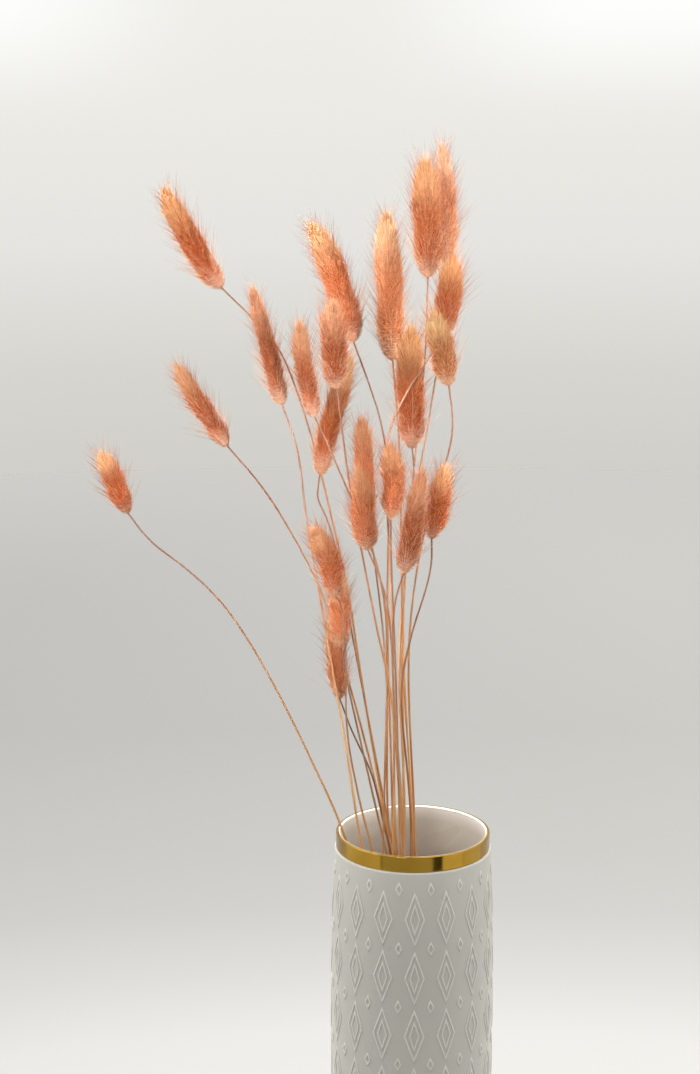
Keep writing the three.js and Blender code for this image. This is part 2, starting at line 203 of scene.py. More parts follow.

# ---- Dyes and painted light: the colours of a hair's root, body and tip, and of the hairs at the head's top ----
# Each hair is painted darker at its root, for the shade deep in the fur, and paler at its tip, for the light
# that shines through it.
DYES_AND_LIGHT = {
    "coral": ("#b46232", "#ecae7c", "#ecc8a4", "#f2d6a8"),
    "rust": ("#aa5428", "#e8a26c", "#e8be96", "#e6c492"),
    "vivid": ("#d8804e", "#fabc86", "#f0cca4", "#f2d6aa"),
    "dusty": ("#ae6a46", "#e8ae8c", "#e4c2a6", "#d8b68e"),
    "straw": ("#a67448", "#e0b288", "#e4caa4", "#d0bc90"),
    "pale": ("#e8a270", "#ffdeb2", "#f8dec0", "#fce8c2"),
    "peach": ("#d0865a", "#f4c298", "#f0d0ae", "#d8b088"),
    "light": ("#f4c096", "#ffeed6", "#f8dec0", "#fcead0"),
    "russet": ("#a05e3c", "#da9c76", "#deb492", "#deb896"),
}
USUAL_DYE_AND_LIGHT = "coral"
# Heads differ in dye, and heads that lie in shade get paler dyes: painted light.
DYE_AND_LIGHT_OF = {
    1: "rust", 2: "dusty", 3: "vivid", 4: "russet", 5: "dusty", 6: "vivid", 7: "russet", 9: "peach",
    10: "peach", 11: "pale", 12: "rust", 14: "light", 15: "rust", 16: "straw", 17: "peach",
    18: "russet", 19: "vivid", 20: "peach", 21: "pale", 22: "pale",
}
HAIR_PLACES = (0.45, 0.82, 0.99)  # where along a hair the colours of root, body and tip lie; the dark root is painted shade and the pale tip painted light
TOP_PLACES = (0.45, 0.94)  # where along the head the top's colour comes in: lighter and yellower, partly a paler top and partly painted light from above
TOP_STRENGTH = 0.95
BASE_FUR = "#d4c6b4"  # the hairs round a head's base
BASE_PLACES = (0.03, 0.26)  # where along the head that colour goes out
BASE_STRENGTH = 0.75
BASE_COVER = 0.9
AWN_COLOURS = ("#d8966a", "#a87c5c")
STRANDS = 260.0  # changes of shade along a head
STRAND_SHADES = ((0.39, "#b4683e"), (0.5, "#f4d8c4"), (0.61, (1.18, 1.18, 1.18)))
TOP_SHADE = (1.04, 1.04, 1.04)
TOP_EVENNESS = 0.55  # how far the shades give way to that one at the top, which lightens the top further as painted light
SEE_THROUGH = 0.5  # how much of the fur lets light through

# ---- Other colours ----
GLAZE = ((0.2, "#b3b1ab"), (0.5, "#b4b2aa"), (0.8, "#b6b3ab"))
RIDGE_HIGHLIGHT = "#dcdad2"  # painted highlight along the raised lines of the relief
RIDGE_HIGHLIGHT_STRENGTH = 0.6
INSIDE_SHADING_HEIGHT = 40 * MM  # the part inside, under the lip, over which the painted shade changes
# painted shade inside the vase: darker further down, lighter near the lip, and warm with a painted reflection
# of the heads
INSIDE_SHADING = ((0.0, "#b0aaa0"), (0.45, "#cac2b8"), (0.8, "#c8c2b8"), (0.92, "#dedad2"), (1.0, "#f4f0ea"))
LIP_PAINTED_LIGHT = ("#b49458", "#f4f0ea")  # painted light on the lip: a golden reflection at the front and a white highlight at the back of the mouth
LIP_TURN = 12 * MM  # the one gives way to the other over so much on either side of the middle
LIP_BAND = (1.4 * MM, 0.6 * MM)  # how far under the lip its colour starts, and is complete
GLAZE_ROUGHNESS = (0.27, 0.31)
GOLD = ((0.3, "#a5812f"), (0.7, "#b58f3a"))
GOLD_ROUGHNESS = (0.1, 0.18)
STEM_COLOURS = ((0.0, "#f0cc98"), (0.35, "#cca272"), (0.55, "#a27c5a"), (0.75, "#7e5f4e"), (1.0, "#705247"))
STREAKS = (9.0, 14.0)  # round a stem and along it
STREAK_TINT = "#dcc0a0"
STEM_TINTS = ((0.0, "#dcc8b8"), (0.5, "#f0e8e0"), (0.9, (1.06, 1.06, 1.06)))  # from stem to stem
CLOUDS = (0.3, 0.7)  # the range that noise hardly ever leaves

# ---- Camera ----
PHOTO_HEIGHT = 1074
FOCAL_PIXELS = 2068
SENSOR = 36
CAMERA_PLACE = (-32.7 * MM, -1021 * MM, 575.4 * MM)
CAMERA_PITCH = math.radians(12.1)

# ---- Floor ----
FLOOR_RADIUS = 2.2
FLOOR_SEGMENTS = 96
FLOOR_STRETCH = (0.5, 1, 1)  # the painted light makes ellipses that are twice as wide as deep
FLOOR_PAINTED_LIGHT = (  # painted light, from the vase outwards, in shares of the radius: brighter round the vase, darker further out, a little lighter far off
    (0.0, (0.32, 0.32, 0.31)), (0.085, (0.297, 0.297, 0.292)), (0.125, (0.26, 0.26, 0.255)),
    (0.175, (0.226, 0.226, 0.221)), (0.23, (0.214, 0.214, 0.208)), (0.37, (0.199, 0.199, 0.193)),
    (0.6, (0.207, 0.207, 0.201)), (1.0, (0.2245, 0.222, 0.2145)),
)
FLOOR_PAINTED_SIDE_SHADE = ((0.0, (0.93, 0.93, 0.94)), (1.0, (1.06, 1.06, 1.05)))  # painted shade, from left to right: darker on the left
FLOOR_SIDE_SHADE_SPAN = (-0.4, 0.3)
FLOOR_SIDE_SHADE_END = 1.2  # from there outwards the painted side shade goes out

# ---- Backdrop and soft light. Heights and depths are those of directions, from -1 to 1 ----
BACKDROP_SPAN = (-0.2, 0.06)
BACKDROP = (
    (0.0, "#d1cfca"), (0.1, "#d1cfca"), (0.27, "#d6d5d0"), (0.49, "#e5e4e0"), (0.72, "#ebeae5"),
    (1.0, "#f0efea"),
)
GLOW = (1, 1, 0.99)  # brighter parts on both sides
GLOW_MIDDLE = 0.03  # how far to the left the dimmer middle lies
GLOW_ASIDE = (0.02, 0.15)
GLOW_HEIGHTS = (-0.02, 0.05)
FRONT_LIGHT = (0.42, 0.415, 0.41)
SIDE_LIGHT = (0.8, 0.79, 0.78)
BACK_LIGHT = (1.75, 1.73, 1.7)
LIGHT_ROUND = ((0.0, FRONT_LIGHT), (0.25, FRONT_LIGHT), (0.5, SIDE_LIGHT), (1.0, BACK_LIGHT))
OVERHEAD_LIGHT = (5, 4.96, 4.88)
OVERHEAD_TILT = 0.4  # the light from above leans to the back
OVERHEAD_HEIGHTS = (0.35, 1.1)
MIRRORED = (  # what mirroring surfaces see, from the front to the back
    (0.0, (0.2, 0.2, 0.2)), (0.3, (0.35, 0.35, 0.34)), (0.6, (0.7, 0.7, 0.69)), (1.0, (0.8, 0.8, 0.78)),
)
MIRRORED_TOP = (1.7, 1.68, 1.62)
MIRRORED_HEIGHTS = (0.3, 0.9)

# ---- Cards and lamps ----
CARD_COLOUR = (1, 0.98, 0.94, 1)
CARD_DISTANCE = 0.45
CARD_FOOT = 1 * MM
CARD_HEIGHT = 0.5
CARD_STEPS = 12
CARDS = (  # what the gilding mirrors: turns from the front in degrees, and brightness
    ("card_left", -115, -48, 0.9),
    ("card_line", -48, -46, 0.1),
    ("card_dark", 27, 41, 0.03),
    ("card_bright", 42, 74, 1.05),
    ("card_right", 76, 115, 0.9),
)
WARM_WHITE = (1, 0.985, 0.96)
BOUQUET_TOP = (-0.03, 0, 0.525)
BOUQUET_LOW = (-0.03, 0, 0.37)
LAMPS = (  # place, target, width, power in watts and the beam's whole angle in degrees
    ("key", (-1.1, 0.2, 1.4), (0, 0, 0.3), 0.9, 5, 180),
    ("beam_left", (-0.75, -0.5, 0.5), BOUQUET_TOP, 0.3, 0.68, 33),
    ("beam_right", (0.75, -0.45, 0.5), BOUQUET_TOP, 0.3, 0.95, 33),
    ("beam_front", (-0.28, -0.9, 0.6), BOUQUET_TOP, 0.3, 0.87, 33),
    ("beam_low", (-0.4, -0.85, 0.42), BOUQUET_LOW, 0.12, 0.11, 18),
)


# ================= Helpers =================

def unit(vectors):
    """The vectors, each with a length of 1."""
    return vectors / np.linalg.norm(vectors, axis=-1, keepdims=True)


def linear(colour):
    """Linear RGBA of a colour that is written as #rrggbb or holds linear values."""
    if not isinstance(colour, str):
        return [*colour[:3], 1]
    values = [int(colour[i:i + 2], 16) / 255 for i in (1, 3, 5)]
    return [v / 12.92 if v <= 0.04045 else ((v + 0.055) / 1.055) ** 2.4 for v in values] + [1]


def corners(node):
    """The corners of a CAD node, each once."""
    mesh = bmesh.new()
    mesh.from_mesh(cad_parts[node].data)
    bmesh.ops.remove_doubles(mesh, verts=mesh.verts, dist=0.01 * MM)
    points = np.array([v.co for v in mesh.verts])
    mesh.free()
    return points


def smooth_line(points, steps):
    """Points on a Catmull-Rom curve through the given ones, with so many steps between each two."""
    padded = np.vstack([2 * points[0] - points[1], points, 2 * points[-1] - points[-2]])
    a, b, c, d = (padded[i:len(padded) - 3 + i, None] for i in range(4))
    t = np.linspace(0, 1, steps, endpoint=False)[None, :, None]
    curve = (
        (-t**3 + 2 * t**2 - t) * a + (3 * t**3 - 5 * t**2 + 2) * b
        + (-3 * t**3 + 4 * t**2 + t) * c + (t**3 - t**2) * d
    ) / 2
    return np.vstack([curve.reshape(-1, points.shape[1]), points[-1:]])


def grid_faces(rows, columns, closed=True):
    """Quads between neighbouring rows of points, each row closed into a ring or left open."""
    across = columns if closed else columns - 1
    row, column = np.meshgrid(np.arange(rows - 1), np.arange(across), indexing="ij")
    here = (row * columns + column).ravel()
    right = (row * columns + (column + 1) % columns).ravel()
    return np.stack([here, right, right + columns, here + columns], axis=1)


def add_piece(name, points, faces, material, node, slot, uv=None):
    """A smooth mesh that stands for a CAD node. uv holds a place on the map for each point."""
    mesh = bpy.data.meshes.new(name)
    mesh.from_pydata(points, [], faces)
    mesh.shade_smooth()
    if uv is not None:
        layer = mesh.uv_layers.new(name=MAP)
        vertex = np.zeros(len(mesh.loops), np.int32)
        mesh.loops.foreach_get("vertex_index", vertex)
        layer.uv.foreach_set("vector", uv[vertex].astype(np.float32).ravel())
    mesh.materials.append(material)
    piece = bpy.data.objects.new(name, mesh)
    bpy.context.scene.collection.objects.link(piece)
    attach(piece, BODY)
    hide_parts(node)


# ================= Materials =================

class Nodes:
    """A short way to add and join nodes in a tree."""

    def __init__(self, tree):
        self.tree = tree

    def add(self, kind, settings=None, **inputs):
        """Adds a node. An input is a value, or the output of another node."""
        node = self.tree.nodes.new(kind)
        for key, value in (settings or {}).items():
            setattr(node, key, value)
        for key, value in inputs.items():
            socket = node.inputs[int(key[1:])] if key[1:].isdigit() else node.inputs[key.replace("_", " ")]
            if isinstance(value, bpy.types.NodeSocket):
                self.tree.links.new(value, socket)
            else:
                socket.default_value = value
        return node

    def math(self, operation, a, b=0.0, c=0.0):
        return self.add("ShaderNodeMath", {"operation": operation}, i0=a, i1=b, i2=c).outputs[0]

    def noise(self, place, scale, detail):
        return self.add("ShaderNodeTexNoise", Vector=place, Scale=scale, Detail=detail).outputs["Fac"]

    def bump(self, strength, distance, height):
        node = self.add("ShaderNodeBump", Strength=strength, Distance=distance, Height=height)
        return node.outputs["Normal"]

    def ramp(self, factor, stops):
        """A colour ramp with (place, colour) stops."""
        stops = [(place, linear(colour)) for place, colour in stops]
        node = self.add("ShaderNodeValToRGB", Fac=factor)
        elements = node.color_ramp.elements
        elements[0].position, elements[1].position = stops[0][0], stops[-1][0]
        elements[0].color, elements[1].color = stops[0][1], stops[-1][1]
        for place, colour in stops[1:-1]:
            elements.new(place).color = colour
        return node.outputs["Color"]

    def mix(self, factor, a, b, kind="MIX"):
        """A mix of two colours. Each is the output of another node, or one to write as linear() takes it."""
        a, b = (colour if isinstance(colour, bpy.types.NodeSocket) else linear(colour) for colour in (a, b))
        node = self.add("ShaderNodeMix", {"data_type": "RGBA", "blend_type": kind}, i0=factor, i6=a, i7=b)
        return node.outputs[2]

    def range(self, value, low, high, to_low=0.0, to_high=1.0, smooth=True):
        """The value's way from low to high, as the way from to_low to to_high. It doesn't leave them."""
        settings = {"interpolation_type": "SMOOTHSTEP" if smooth else "LINEAR"}
        node = self.add("ShaderNodeMapRange", settings, Value=value, i1=low, i2=high, i3=to_low, i4=to_high)
        return node.outputs[0]


def new_material(name):
    """A material, its nodes and its shader."""
    material = bpy.data.materials.new(name)
    material.use_nodes = True
    nodes = Nodes(material.node_tree)
    shader = material.node_tree.nodes["Principled BSDF"]
    return material, nodes, shader


def link(nodes, source, shader, socket):
    """Joins a node's output to one of the shader's inputs."""
    nodes.tree.links.new(source, shader.inputs[socket])


def porcelain():
    """Grey white glaze, with a painted highlight along the relief lines, painted shade inside that deepens
    downwards with a painted warm reflection, and painted light on the lip.
    """
    material, nodes, shader = new_material("glazed_porcelain")
    place = nodes.add("ShaderNodeTexCoord").outputs["Object"]
    x, y, height = nodes.add("ShaderNodeSeparateXYZ", Vector=place).outputs[:3]
    radius = nodes.math("SQRT", nodes.math("ADD", nodes.math("POWER", x, 2.0), nodes.math("POWER", y, 2.0)))
    square, slope, foot = (float(v) for v in WALL_LINE)
    wall = nodes.math("MULTIPLY_ADD", nodes.math("MULTIPLY_ADD", height, square, slope), height, foot)
    proud = nodes.math("SUBTRACT", radius, wall)
    cloud = nodes.noise(place, 34, 2)
    glaze = nodes.ramp(cloud, GLAZE)
    # painted highlight: the raised lines of the relief are whiter
    ridge_highlight = nodes.range(proud, 0.1 * MM, LINE_HEIGHT)
    glaze = nodes.mix(nodes.math("MULTIPLY", ridge_highlight, RIDGE_HIGHLIGHT_STRENGTH), glaze, RIDGE_HIGHLIGHT)
    # painted shade inside the vase, darker further down, with a painted warm reflection of the heads
    within = nodes.range(proud, -0.8 * WALL_THICKNESS, -0.4 * WALL_THICKNESS, 1.0, 0.0)
    inside_shading = nodes.ramp(nodes.range(height, LIP - INSIDE_SHADING_HEIGHT, LIP, smooth=False), INSIDE_SHADING)
    # painted light on the lip: golden at the front, white at the back
    lip_light = nodes.mix(nodes.range(y, -LIP_TURN, LIP_TURN), *LIP_PAINTED_LIGHT)
    inside_shading = nodes.mix(nodes.range(height, LIP - LIP_BAND[0], LIP - LIP_BAND[1]), inside_shading, lip_light)
    glaze = nodes.mix(within, glaze, inside_shading)
    link(nodes, glaze, shader, "Base Color")
    link(nodes, nodes.range(cloud, *CLOUDS, *GLAZE_ROUGHNESS), shader, "Roughness")
    link(nodes, nodes.bump(0.1, 0.4 * MM, nodes.noise(place, 60, 1)), shader, "Normal")
    return material


def gold():
    """Fired gold, slightly cloudy."""
    material, nodes, shader = new_material("gold_lustre")
    place = nodes.add("ShaderNodeTexCoord").outputs["Object"]
    cloud = nodes.noise(place, 70, 4)
    link(nodes, nodes.ramp(cloud, GOLD), shader, "Base Color")
    link(nodes, nodes.range(cloud, *CLOUDS, *GOLD_ROUGHNESS), shader, "Roughness")
    shader.inputs["Metallic"].default_value = 1
    return material


def dried_stem():
    """Ochre below and mauve brown near the head, with streaks along the stem."""
    material, nodes, shader = new_material("dried_stem")
    spot = nodes.add("ShaderNodeUVMap", {"uv_map": MAP}).outputs["UV"]
    around, along = nodes.add("ShaderNodeSeparateXYZ", Vector=spot).outputs[:2]
    body = nodes.ramp(along, STEM_COLOURS)
    across, up = (nodes.math("MULTIPLY", way, times) for way, times in zip((around, along), STREAKS))
    stretched = nodes.add("ShaderNodeCombineXYZ", X=across, Y=up).outputs[0]
    streaks = nodes.noise(stretched, 1, 3)
    tinted = nodes.mix(nodes.range(streaks, *CLOUDS), nodes.mix(1.0, body, STREAK_TINT, "MULTIPLY"), body)
    tinted = nodes.mix(1.0, tinted, nodes.ramp(around, STEM_TINTS), "MULTIPLY")
    link(nodes, tinted, shader, "Base Color")
    shader.inputs["Roughness"].default_value = 0.65
    shader.inputs["Specular IOR Level"].default_value = 0.3
    link(nodes, nodes.bump(0.2, 0.05 * MM, streaks), shader, "Normal")
    return material


def fur(name, dye):
    """Hair whose colours change along each hair and along the head: painted shade at the roots, painted light
    at the tips and on the top.
    """
    deep, body, tip, high = DYES_AND_LIGHT[dye]
    material, nodes, shader = new_material(name)
    spot = nodes.add("ShaderNodeUVMap", {"uv_map": MAP}).outputs["UV"]
    head_share, hair_share = nodes.add("ShaderNodeSeparateXYZ", Vector=spot).outputs[:2]
    deep_end, body_place, tip_place = (place * FUR_TIP for place in HAIR_PLACES)
    # painted shade at each hair's root, painted light at its tip
    hair = nodes.ramp(hair_share, [
        (0.0, deep), (deep_end, deep), (body_place, body), (tip_place, tip),
        (FUR_TIP + 0.02, AWN_COLOURS[0]), (1.0, AWN_COLOURS[1]),
    ])
    # the top of a head is painted lighter and yellower: partly a paler top, partly painted light from above
    top = nodes.range(head_share, *TOP_PLACES, 0.0, TOP_STRENGTH)
    lighter = nodes.mix(top, hair, high)
    base = nodes.range(head_share, *BASE_PLACES, BASE_STRENGTH, 0.0)
    whole = nodes.mix(base, lighter, nodes.mix(BASE_COVER, lighter, BASE_FUR))
    number = nodes.math("MULTIPLY", head_share, STRANDS)
    strand = nodes.add("ShaderNodeTexNoise", {"noise_dimensions": "1D"}, W=number, Scale=1, Detail=1)
    shade = nodes.ramp(strand.outputs["Fac"], STRAND_SHADES)
    shade = nodes.mix(nodes.math("MULTIPLY", top, TOP_EVENNESS), shade, TOP_SHADE)
    colour = nodes.mix(1.0, whole, shade, "MULTIPLY")
    link(nodes, colour, shader, "Base Color")
    shader.inputs["Roughness"].default_value = 0.6
    shader.inputs["Specular IOR Level"].default_value = 0.1
    thin = nodes.add("ShaderNodeBsdfTranslucent", Color=colour)
    both = nodes.add("ShaderNodeMixShader", Fac=SEE_THROUGH, i1=shader.outputs[0], i2=thin.outputs[0])
    output = material.node_tree.nodes["Material Output"]
    nodes.tree.links.new(both.outputs[0], output.inputs["Surface"])
    return material


# ================= Vase =================

def wall_curve():
    """The outer radius of the CAD vase as a quadratic of the height, and the wall's thickness."""
    points = corners("vase")
    radius = np.hypot(points[:, 0], points[:, 1])
    level = points[:, 2].round(5)
    low, high = FLOOR_TOP + FLOOR_ROUNDING, GILT_LOW - MM
    heights = [z for z in np.unique(level) if low < z < high and np.ptp(radius[level == z]) > MM]
    outer = [radius[level == z].max() for z in heights]
    inner = [radius[level == z].min() for z in heights]
    return np.polyfit(heights, outer, 2), float(np.mean(np.subtract(outer, inner)))


WALL_LINE, WALL_THICKNESS = wall_curve()


def outer(height):
    """The wall's outer radius at a height."""
    return np.polyval(WALL_LINE, height)


def inner(height):
    return outer(height) - WALL_THICKNESS


def turned(profile):
    """Points and faces of a closed profile of [radius, height] points, turned about Z."""
    angles = np.linspace(0, 2 * np.pi, VASE_SEGMENTS, endpoint=False)
    radius, height = np.array(profile).T
    x = radius[:, None] * np.sin(angles)
    y = -radius[:, None] * np.cos(angles)
    z = np.broadcast_to(height[:, None], x.shape)
    return np.stack([x, y, z], axis=-1).reshape(-1, 3), grid_faces(len(profile), VASE_SEGMENTS)


def rounding(centre_radius, centre_height, radius, start, end):
    """Points of a quarter round between two angles, in degrees."""
    angles = np.radians(np.linspace(start, end, ROUNDING_STEPS + 1))
    return [[centre_radius + radius * math.cos(a), centre_height + radius * math.sin(a)] for a in angles]


def disc(radius, height):
    """A disc's inner rings. None of them lies on the axis, where all of its corners would meet."""
    return [[share * radius, height] for share in DISC_RINGS]


def vase_profile():
    """The porcelain from the middle of its foot, up its outside and down its inside to its floor."""
    foot_radius = outer(FOOT_ROUNDING) - FOOT_ROUNDING
    recess_radius = foot_radius - FOOT_RING_WIDTH
    wall = np.linspace(FOOT_ROUNDING, GILT_LOW - SHOULDER_ROUNDING, WALL_STEPS + 1)[1:]
    wall = [*wall[:-1], wall[-1] - SUPPORT, wall[-1]]
    inside = np.linspace(LIP - LIP_ROUNDING, FLOOR_TOP + FLOOR_ROUNDING, WALL_STEPS + 1)
    inside = [inside[0], inside[0] - SUPPORT, *inside[1:]]
    shoulder = outer(GILT_LOW) - SHOULDER_ROUNDING
    bend = FLOOR_TOP + FLOOR_ROUNDING
    collar = RIM_RADIUS - GILT_THICKNESS
    lip_middle = inner(LIP) + LIP_ROUNDING
    return [
        *disc(recess_radius, FOOT_RECESS),
        [recess_radius, FOOT_RECESS],
        *[[recess_radius + way, height] for way, height in FOOT_RING_EDGE],
        *rounding(foot_radius, FOOT_ROUNDING, FOOT_ROUNDING, -90, 0),
        *[[outer(z), z] for z in wall],
        *rounding(shoulder, GILT_LOW - SHOULDER_ROUNDING, SHOULDER_ROUNDING, 0, 90),
        [collar, GILT_LOW],
        [collar, LIP - GILT_THICKNESS],
        *rounding(lip_middle, LIP - LIP_ROUNDING, LIP_ROUNDING, 90, 180),
        *[[inner(z), z] for z in inside],
        *rounding(inner(bend) - FLOOR_ROUNDING, bend, FLOOR_ROUNDING, 0, -90),
        *disc(inner(bend) - FLOOR_ROUNDING, FLOOR_TOP)[::-1],
    ]


def gilt_profile():
    """A thin sleeve round the lip. Its upper edge turns over onto the lip."""
    inner_radius = RIM_RADIUS - GILT_THICKNESS
    middle = RIM_RADIUS - GILT_ROUNDING
    low, high = GILT_LOW + GILT_ROUNDING, LIP - GILT_ROUNDING
    sleeve = [low + SUPPORT, *np.linspace(low, high, GILT_STEPS)[1:-1], high - SUPPORT]
    edge = inner(LIP) + LIP_ROUNDING
    return [
        [inner_radius, GILT_LOW],
        *rounding(middle, low, GILT_ROUNDING, -90, 0),
        *[[RIM_RADIUS, z] for z in sleeve],
        *rounding(middle, high, GILT_ROUNDING, 0, 90),
        [edge + GILT_BEVEL[0], LIP],
        [edge, LIP - GILT_BEVEL[1]],
        [edge, LIP - GILT_THICKNESS],
        [inner_radius, LIP - GILT_THICKNESS],
        [inner_radius, GILT_LOW],
    ]


def outline(size, steps):
    """A lozenge's outline about the origin, with so many points on each side."""
    ends = np.array([[0, 0.5], [0.5, 0], [0, -0.5], [-0.5, 0]]) * size
    share = np.linspace(0, 1, steps, endpoint=False)[:, None]
    return np.vstack([ends[i - 1] * (1 - share) + ends[i] * share for i in range(4)])


def raised_line(path):
    """A closed raised line on the vase. The path holds points [way round the vase, height]."""
    before, after = np.roll(path, 1, axis=0), np.roll(path, -1, axis=0)
    first, second = unit(path - before), unit(after - path)
    middle = unit(first + second)
    sideways = np.stack([-middle[:, 1], middle[:, 0]], axis=1) / (first * middle).sum(axis=1, keepdims=True)
    shares, heights = np.array(LINE_SECTION).T
    flat = path[:, None] + sideways[:, None] * shares[None, :, None] * LINE_WIDTH / 2
    turn = flat[..., 0] / BELLY_RADIUS
    radius = outer(flat[..., 1]) + heights
    points = np.stack([radius * np.sin(turn), -radius * np.cos(turn), flat[..., 1]], axis=-1)
    rows, columns = len(path), len(shares)
    faces = grid_faces(rows + 1, columns, closed=False) % (rows * columns)
    return points.reshape(-1, 3), faces


def relief():
    """All the raised lines, as one set of points and faces."""
    points, faces, count = [], [], 0
    spacing = 2 * np.pi * BELLY_RADIUS / RELIEF_COLUMNS
    row_pitch = RELIEF_HEIGHTS[1] - RELIEF_HEIGHTS[0]
    motifs = [
        (outline(LOZENGE, 4), [0, 0]),
        (outline(INNER_LOZENGE, 3), [0, 0]),
        (outline(SMALL_LOZENGE, 1), [spacing / 2, row_pitch / 2]),
    ]
    for column in range(RELIEF_COLUMNS):
        for height in RELIEF_HEIGHTS:
            for shape, shift in motifs:
                line, quads = raised_line(shape + shift + [column * spacing, height])
                points.append(line)
                faces.append(quads + count)
                count += len(line)
    return np.vstack(points), np.vstack(faces)


def build_vase():
    """The porcelain with its relief in one piece, and the gold."""
    points, faces = turned(vase_profile())
    lines, line_faces = relief()
    everything = np.vstack([points, lines])
    add_piece("porcelain_vase", everything, np.vstack([faces, line_faces + len(points)]), porcelain(), "vase",
              "glazed_porcelain")
    add_piece("gold_band", *turned(gilt_profile()), gold(), "gilded_rim", "gold_lustre")


# ================= Stems =================

def stem_rings(node):
    """The centre and radius of each ring of corners of a CAD stem, from its foot to its neck."""
    points = corners(node)
    points = points[points[:, 2].argsort()]
    end = STEM_CORNERS + 1  # an end's ring has its middle too
    rings = [points[:end], *np.split(points[end:-end], STEM_RINGS - 2), points[-end:]]
    centres = np.array([ring.mean(axis=0) for ring in rings])
    radii = [np.linalg.norm(ring - centre, axis=1).max() for ring, centre in zip(rings, centres)]
    return np.column_stack([centres, radii])


def build_stem(number, rings, material, random):
    """A stem with round sides, from the CAD stem's rings."""
    line = smooth_line(rings, STEM_STEPS)
    centres, radii = line[:, :3], line[:, 3]
    swelling = smooth_line(random.uniform(-1, 1, (STEM_RINGS, 1)), STEM_STEPS)[:, 0]
    radii = radii * (1 + STEM_UNEVENNESS * swelling)
    tangents = unit(np.gradient(centres, axis=0))
    across = unit(np.cross([0, 1, 0], tangents))
    outward = np.cross(tangents, across)
    angles = np.linspace(0, 2 * np.pi, STEM_SIDES, endpoint=False)[None, :, None]
    around = np.cos(angles) * across[:, None] + np.sin(angles) * outward[:, None]
    points = (centres[:, None] + radii[:, None, None] * around).reshape(-1, 3)
    faces = grid_faces(len(line), STEM_SIDES).tolist()
    faces += [list(range(STEM_SIDES))[::-1], list(range(len(points) - STEM_SIDES, len(points)))]
    share = np.repeat(np.linspace(0, 1, len(line)), STEM_SIDES)
    side = np.tile(np.abs(np.linspace(-1, 1, STEM_SIDES, endpoint=False)), len(line))
    first, own, two_sides = STEM_SHADES
    side = first + own * random.uniform() + two_sides * side
    add_piece(f"stem_{number:02d}_dried", points, faces, material, f"stem_{number:02d}", "dried_stem",
              np.column_stack([side, share]))


# ================= Heads =================

class Head:
    """A head's bent axis and its size, from its CAD node and the neck of its stem."""

    def __init__(self, node, neck, slimming, fullness, phases):
        points = corners(node)
        away = np.linalg.norm(points - neck, axis=1)
        far = points[away.argsort()[-END_CORNERS:]].mean(axis=0)
        self.neck = neck
        self.slimming = slimming
        self.phases = phases  # of the lumps in its outline
        self.tip = neck + unit(far - neck) * away.max()
        share = ((points - neck) @ (self.tip - neck) / away.max() ** 2)[:, None]
        rest = points - (1 - share) ** 2 * neck - share**2 * self.tip
        weight = 2 * share * (1 - share)
        self.pull = (weight * rest).sum(axis=0) / (weight**2).sum()
        self.length = away.max()
        widest = abs(share[:, 0] - WIDEST_PLACE) < WIDEST_SPAN
        beside = points[widest] - self.axis(share[widest, 0])[0]
        tangent = self.axis(share[widest, 0])[1]
        radial = beside - (beside * tangent).sum(axis=1, keepdims=True) * tangent
        self.radius = fullness * float(np.percentile(np.linalg.norm(radial, axis=1), WIDTH_PERCENTILE))
        self.girth = 2 * np.pi * self.radius
        self.scale = np.clip(self.radius / FULL_RADIUS, SHORTEST_HAIRS, 1)  # of the lengths of its hairs

    def axis(self, share):
        """Points on the axis and its directions there, at shares of the whole length."""
        share = np.asarray(share)[:, None]
        point = (1 - share) ** 2 * self.neck + 2 * share * (1 - share) * self.pull + share**2 * self.tip
        direction = unit((1 - share) * (self.pull - self.neck) + share * (self.tip - self.pull))
        return point, direction

    def radial(self, share, turn):
        """Directions square to the axis at shares of the whole length."""
        _, direction = self.axis(share)
        across = unit(np.cross([0, 1, 0], direction))
        outward = np.cross(direction, across)
        angle = (2 * np.pi * turn)[:, None]
        return np.cos(angle) * across + np.sin(angle) * outward

    def width(self, share):
        """Half the width at a share of the length: round below, and closing to a soft point above."""
        widest = ROUND_BASE * self.radius / self.length
        low = (1 - (1 - np.clip(share / widest, 0, 1)) ** 2) ** BASE_SHAPE
        slim = 1 - self.slimming * (np.clip(share - widest, 0, 1) / (1 - widest)) ** SLIMMING_DELAY
        point = np.sqrt(1 - np.clip((share - POINT_START) / (1 - POINT_START), 0, 1) ** 2)
        return self.radius * low * slim * point

    def on_core(self, share, turn):
        """Places on the core, at shares of the length and turns round the axis."""
        centre, _ = self.axis(share)
        return centre + self.radial(share, turn) * (CORE_SHARE * self.width(share))[:, None]

    def on_coat(self, share, turn, reach):
        """Places on the soft lumpy outline, or at shares of its width."""
        centre, _ = self.axis(share)
        angle = 2 * np.pi * turn
        lumps = 1
        for (height, along, around), phase in zip(LUMPS, self.phases):
            lumps = lumps + height * np.sin(along * share + around * angle + phase)
        return centre + self.radial(share, turn) * (self.width(share) * lumps * reach)[:, None]

    def spread_out(self, count):
        """Evenly spread places, as shares of the length and turns round the axis."""
        fine = np.linspace(0, 1, AREA_STEPS)
        width = self.width(fine)
        area = np.cumsum((width + END_SHARE * self.radius) * np.hypot(self.length, np.gradient(width, fine)))
        share = np.interp((np.arange(count) + 0.5) / count, (area - area[0]) / (area[-1] - area[0]), fine)
        return share, (np.arange(count) * GOLDEN_TURN) % 1


